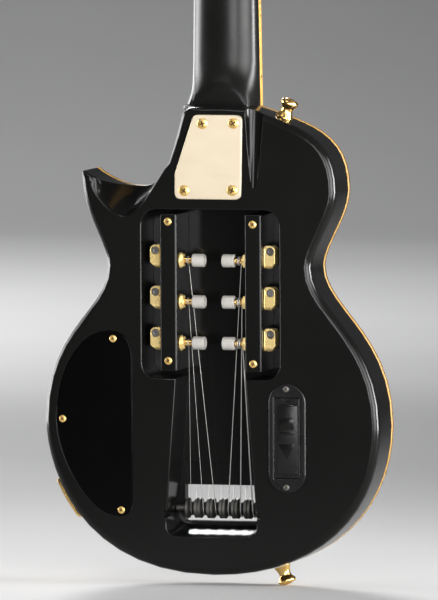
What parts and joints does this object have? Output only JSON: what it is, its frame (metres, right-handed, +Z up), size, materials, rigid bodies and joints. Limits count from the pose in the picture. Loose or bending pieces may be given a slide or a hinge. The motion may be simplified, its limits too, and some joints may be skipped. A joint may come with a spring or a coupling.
{
  "type": "headless travel guitar",
  "caption": "Full scale headless travel guitar: geared tuners in a routed body, strings turned round tail rollers, bolt-on neck, amber binding.",
  "frame": {"origin": "on the centre line, where the body's tail end meets the plane of its back, which is where a stand holds it", "axes": "+Z up the neck, +Y from the back to the strings, +X to the bass side"},
  "size_m": [0.2648, 0.0656, 0.7602],
  "materials": {
    "body_lacquer": "satin black lacquer over wood",
    "neck_lacquer": "satin black lacquer over wood",
    "binding": "amber plastic binding",
    "fretboard_wood": "dark oiled wood with pressed frets",
    "nut_plastic": "off-white plastic",
    "black_metal": "black painted metal",
    "rail_black": "satin black",
    "steel": "plain bright steel",
    "worm_steel": "darkened steel",
    "plate_gold": "pale gold plating, polished",
    "gold": "gold plating, polished",
    "cap_plastic": "off-white plastic",
    "gloss_black": "gloss black plastic",
    "box_black": "fine textured black plastic",
    "battery_wrap": "plain dark printed steel can"
  },
  "bodies": {
    "guitar": {"body": "body_lacquer", "body_binding": "binding", "neck": "neck_lacquer", "fretboard": "fretboard_wood", "fretboard_binding": "binding", "nut": "nut_plastic", "string_anchor": "black_metal", "truss_rod": "steel", "neck_plate": "plate_gold", "rail_treble": "rail_black", "rail_bass": "rail_black", "tuner_housing_1": "gold", "tuner_housing_2": "gold", "tuner_housing_3": "gold", "tuner_housing_4": "gold", "tuner_housing_5": "gold", "tuner_housing_6": "gold", "roller_axle": "steel", "string_1": "steel", "string_2": "steel", "string_3": "steel", "string_4": "steel", "string_5": "steel", "string_6": "steel", "bridge": "gold", "pickup": "gloss_black", "control_cover": "gloss_black", "battery_box": "box_black", "battery": "battery_wrap", "jack_plate": "gold", "output_jack": "gold", "strap_button_neck": "gold", "strap_button_tail": "gold"},
    "worm_1": {"tuner_worm_1": "worm_steel"},
    "post_1": {"tuner_post_1": "gold", "post_cap_1": "cap_plastic"},
    "roller_1": {"string_roller_1": "steel"},
    "worm_2": {"tuner_worm_2": "worm_steel"},
    "post_2": {"tuner_post_2": "gold", "post_cap_2": "cap_plastic"},
    "roller_2": {"string_roller_2": "steel"},
    "worm_3": {"tuner_worm_3": "worm_steel"},
    "post_3": {"tuner_post_3": "gold", "post_cap_3": "cap_plastic"},
    "roller_3": {"string_roller_3": "steel"},
    "worm_4": {"tuner_worm_4": "worm_steel"},
    "post_4": {"tuner_post_4": "gold", "post_cap_4": "cap_plastic"},
    "roller_4": {"string_roller_4": "steel"},
    "worm_5": {"tuner_worm_5": "worm_steel"},
    "post_5": {"tuner_post_5": "gold", "post_cap_5": "cap_plastic"},
    "roller_5": {"string_roller_5": "steel"},
    "worm_6": {"tuner_worm_6": "worm_steel"},
    "post_6": {"tuner_post_6": "gold", "post_cap_6": "cap_plastic"},
    "roller_6": {"string_roller_6": "steel"},
    "volume": {"volume_knob": "gold"},
    "tone": {"tone_knob": "gold"},
    "lid": {"battery_lid": "box_black"}
  },
  "joints": [
    {"name": "worm_turn_1", "type": "hinge", "parent": "guitar", "child": "worm_1", "pos_m": [-0.0455, 0.0137, 0.1848], "axis": [0, 1, 0], "range_deg": [-2880, 2880]},
    {"name": "post_turn_1", "type": "hinge", "parent": "guitar", "child": "post_1", "pos_m": [-0.0335, 0.0106, 0.1772], "axis": [1, 0, 0], "range_deg": [-180, 180]},
    {"name": "roller_turn_1", "type": "hinge", "parent": "guitar", "child": "roller_1", "pos_m": [-0.02463, 0.0365, 0.0485], "axis": [1, 0, 0], "range_deg": [-93.3, 93.3]},
    {"name": "worm_turn_2", "type": "hinge", "parent": "guitar", "child": "worm_2", "pos_m": [-0.0455, 0.0137, 0.2164], "axis": [0, 1, 0], "range_deg": [-2880, 2880]},
    {"name": "post_turn_2", "type": "hinge", "parent": "guitar", "child": "post_2", "pos_m": [-0.0335, 0.0106, 0.2088], "axis": [1, 0, 0], "range_deg": [-180, 180]},
    {"name": "roller_turn_2", "type": "hinge", "parent": "guitar", "child": "roller_2", "pos_m": [-0.01477, 0.0365, 0.0485], "axis": [1, 0, 0], "range_deg": [-94, 94]},
    {"name": "worm_turn_3", "type": "hinge", "parent": "guitar", "child": "worm_3", "pos_m": [-0.0455, 0.0137, 0.2481], "axis": [0, 1, 0], "range_deg": [-2880, 2880]},
    {"name": "post_turn_3", "type": "hinge", "parent": "guitar", "child": "post_3", "pos_m": [-0.0335, 0.0106, 0.2405], "axis": [1, 0, 0], "range_deg": [-180, 180]},
    {"name": "roller_turn_3", "type": "hinge", "parent": "guitar", "child": "roller_3", "pos_m": [-0.00492, 0.0365, 0.0485], "axis": [1, 0, 0], "range_deg": [-94.7, 94.7]},
    {"name": "worm_turn_4", "type": "hinge", "parent": "guitar", "child": "worm_4", "pos_m": [0.0455, 0.0137, 0.2481], "axis": [0, 1, 0], "range_deg": [-2880, 2880]},
    {"name": "post_turn_4", "type": "hinge", "parent": "guitar", "child": "post_4", "pos_m": [0.0335, 0.0106, 0.2405], "axis": [1, 0, 0], "range_deg": [-180, 180]},
    {"name": "roller_turn_4", "type": "hinge", "parent": "guitar", "child": "roller_4", "pos_m": [0.00492, 0.0365, 0.0485], "axis": [1, 0, 0], "range_deg": [-96.1, 96.1]},
    {"name": "worm_turn_5", "type": "hinge", "parent": "guitar", "child": "worm_5", "pos_m": [0.0455, 0.0137, 0.2164], "axis": [0, 1, 0], "range_deg": [-2880, 2880]},
    {"name": "post_turn_5", "type": "hinge", "parent": "guitar", "child": "post_5", "pos_m": [0.0335, 0.0106, 0.2088], "axis": [1, 0, 0], "range_deg": [-180, 180]},
    {"name": "roller_turn_5", "type": "hinge", "parent": "guitar", "child": "roller_5", "pos_m": [0.01477, 0.0365, 0.0485], "axis": [1, 0, 0], "range_deg": [-97.8, 97.8]},
    {"name": "worm_turn_6", "type": "hinge", "parent": "guitar", "child": "worm_6", "pos_m": [0.0455, 0.0137, 0.1848], "axis": [0, 1, 0], "range_deg": [-2880, 2880]},
    {"name": "post_turn_6", "type": "hinge", "parent": "guitar", "child": "post_6", "pos_m": [0.0335, 0.0106, 0.1772], "axis": [1, 0, 0], "range_deg": [-180, 180]},
    {"name": "roller_turn_6", "type": "hinge", "parent": "guitar", "child": "roller_6", "pos_m": [0.02463, 0.0365, 0.0485], "axis": [1, 0, 0], "range_deg": [-99.4, 99.4]},
    {"name": "volume_turn", "type": "hinge", "parent": "guitar", "child": "volume", "pos_m": [-0.084, 0.046, 0.15], "axis": [0, 1, 0], "range_deg": [-150, 150]},
    {"name": "tone_turn", "type": "hinge", "parent": "guitar", "child": "tone", "pos_m": [-0.092, 0.046, 0.106], "axis": [0, 1, 0], "range_deg": [-150, 150]},
    {"name": "lid_swing", "type": "hinge", "parent": "guitar", "child": "lid", "pos_m": [0.0606, -0.0017, 0.0766], "axis": [1, 0, 0], "range_deg": [0, 100]}
  ],
  "couplings": [
    {"joint": "post_turn_1", "follows": "worm_turn_1", "ratio": 0.0625},
    {"joint": "roller_turn_1", "follows": "worm_turn_1", "ratio": -0.03204},
    {"joint": "post_turn_2", "follows": "worm_turn_2", "ratio": 0.0625},
    {"joint": "roller_turn_2", "follows": "worm_turn_2", "ratio": -0.03229},
    {"joint": "post_turn_3", "follows": "worm_turn_3", "ratio": 0.0625},
    {"joint": "roller_turn_3", "follows": "worm_turn_3", "ratio": -0.03254},
    {"joint": "post_turn_4", "follows": "worm_turn_4", "ratio": 0.0625},
    {"joint": "roller_turn_4", "follows": "worm_turn_4", "ratio": -0.03303},
    {"joint": "post_turn_5", "follows": "worm_turn_5", "ratio": 0.0625},
    {"joint": "roller_turn_5", "follows": "worm_turn_5", "ratio": -0.03362},
    {"joint": "post_turn_6", "follows": "worm_turn_6", "ratio": 0.0625},
    {"joint": "roller_turn_6", "follows": "worm_turn_6", "ratio": -0.03418}
  ]
}
